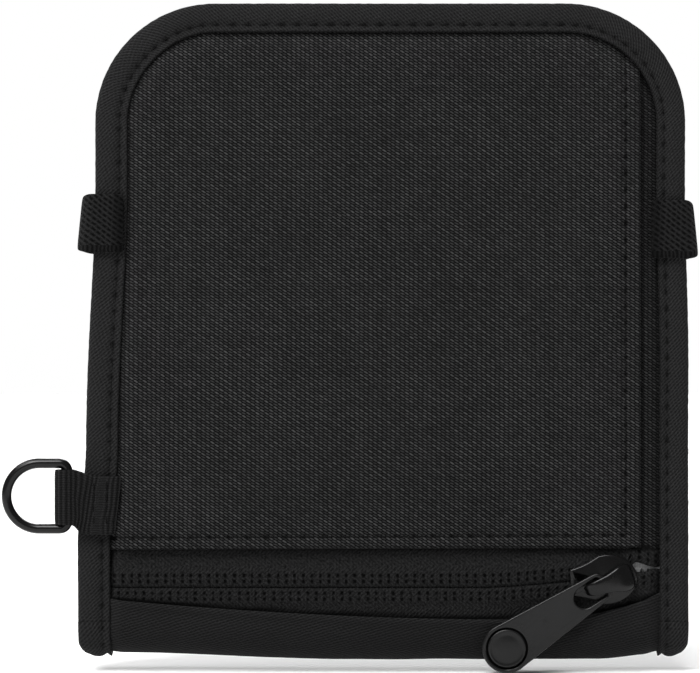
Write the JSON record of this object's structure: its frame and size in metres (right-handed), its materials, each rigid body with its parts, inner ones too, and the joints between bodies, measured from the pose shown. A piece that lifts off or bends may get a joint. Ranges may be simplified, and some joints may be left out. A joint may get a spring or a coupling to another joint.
{
  "type": "passport holder wallet",
  "caption": "Bifold cloth passport wallet with a bound edge, zipped pocket, side slip pocket, D-ring tab and an elastic band that holds it shut.",
  "frame": {"origin": "middle of the spine's lowest line, on the mid-plane between the two closed leaves", "axes": "+Z from the spine to the free top edge, +X to the right of someone facing the zip, +Y from the front leaf to the back leaf"},
  "size_m": [0.1478, 0.0181, 0.1424],
  "materials": {
    "shell_cloth": "black coarse plain weave, slight sheen",
    "binding_tape": "black fine twill tape, matt",
    "zipper_tape": "black herringbone zip tape",
    "zipper_coil": "black nylon coil",
    "lining": "light grey woven lining",
    "pocket_cloth": "black fine lining cloth",
    "padding": "soft foam, hidden",
    "elastic": "black woven elastic",
    "webbing": "black ribbed webbing",
    "black_metal": "gloss black"
  },
  "bodies": {
    "back_leaf": {"back_binding": "binding_tape", "back_shell": "shell_cloth", "back_stiffener": "padding", "back_lining": "lining", "passport_sleeve": "pocket_cloth", "spine_panel": "binding_tape", "spine_lining": "lining", "spine_binding_left": "binding_tape", "spine_binding_right": "binding_tape"},
    "front_leaf": {"front_binding": "binding_tape", "front_pocket_panel": "shell_cloth", "front_shell": "shell_cloth", "front_lower_panel": "binding_tape", "zipper_tape_upper": "zipper_tape", "zipper_tape_lower": "zipper_tape", "zipper_coil_upper": "zipper_coil", "zipper_coil_lower": "zipper_coil", "coin_lining_front": "lining", "coin_lining_back": "lining", "front_stiffener": "padding", "front_lining": "lining", "card_slot_rear": "pocket_cloth", "card_slot_middle": "pocket_cloth", "card_slot_front": "pocket_cloth", "d_ring_webbing": "webbing"},
    "closure_band": {"closure_band": "elastic"},
    "slider": {"slider_body": "black_metal", "slider_crown": "black_metal"},
    "puller": {"zip_puller": "black_metal", "puller_badge": "black_metal"},
    "d_ring": {"d_ring": "black_metal"}
  },
  "joints": [
    {"name": "cover_fold", "type": "hinge", "parent": "back_leaf", "child": "front_leaf", "pos_m": [0, 0, 0.002], "axis": [1, 0, 0], "range_deg": [0, 178], "deforming": ["spine_panel", "spine_lining", "spine_binding_left", "spine_binding_right"]},
    {"name": "band_slip_off", "type": "slide", "parent": "front_leaf", "child": "closure_band", "axis": [0, 0, 1], "range_m": [0, 0.057], "deforming": ["closure_band"]},
    {"name": "zip_slide", "type": "slide", "parent": "front_leaf", "child": "slider", "axis": [-1, 0, 0], "range_m": [0, 0.095]},
    {"name": "puller_swing", "type": "hinge", "parent": "slider", "child": "puller", "pos_m": [0.0471, -0.008, 0.0158], "axis": [-0.5476, 0, 0.8368], "range_deg": [0, 105]},
    {"name": "d_ring_swing", "type": "hinge", "parent": "front_leaf", "child": "d_ring", "pos_m": [-0.067, -0.007, 0.0344], "axis": [0, 0, 1], "range_deg": [-90, 120]}
  ]
}
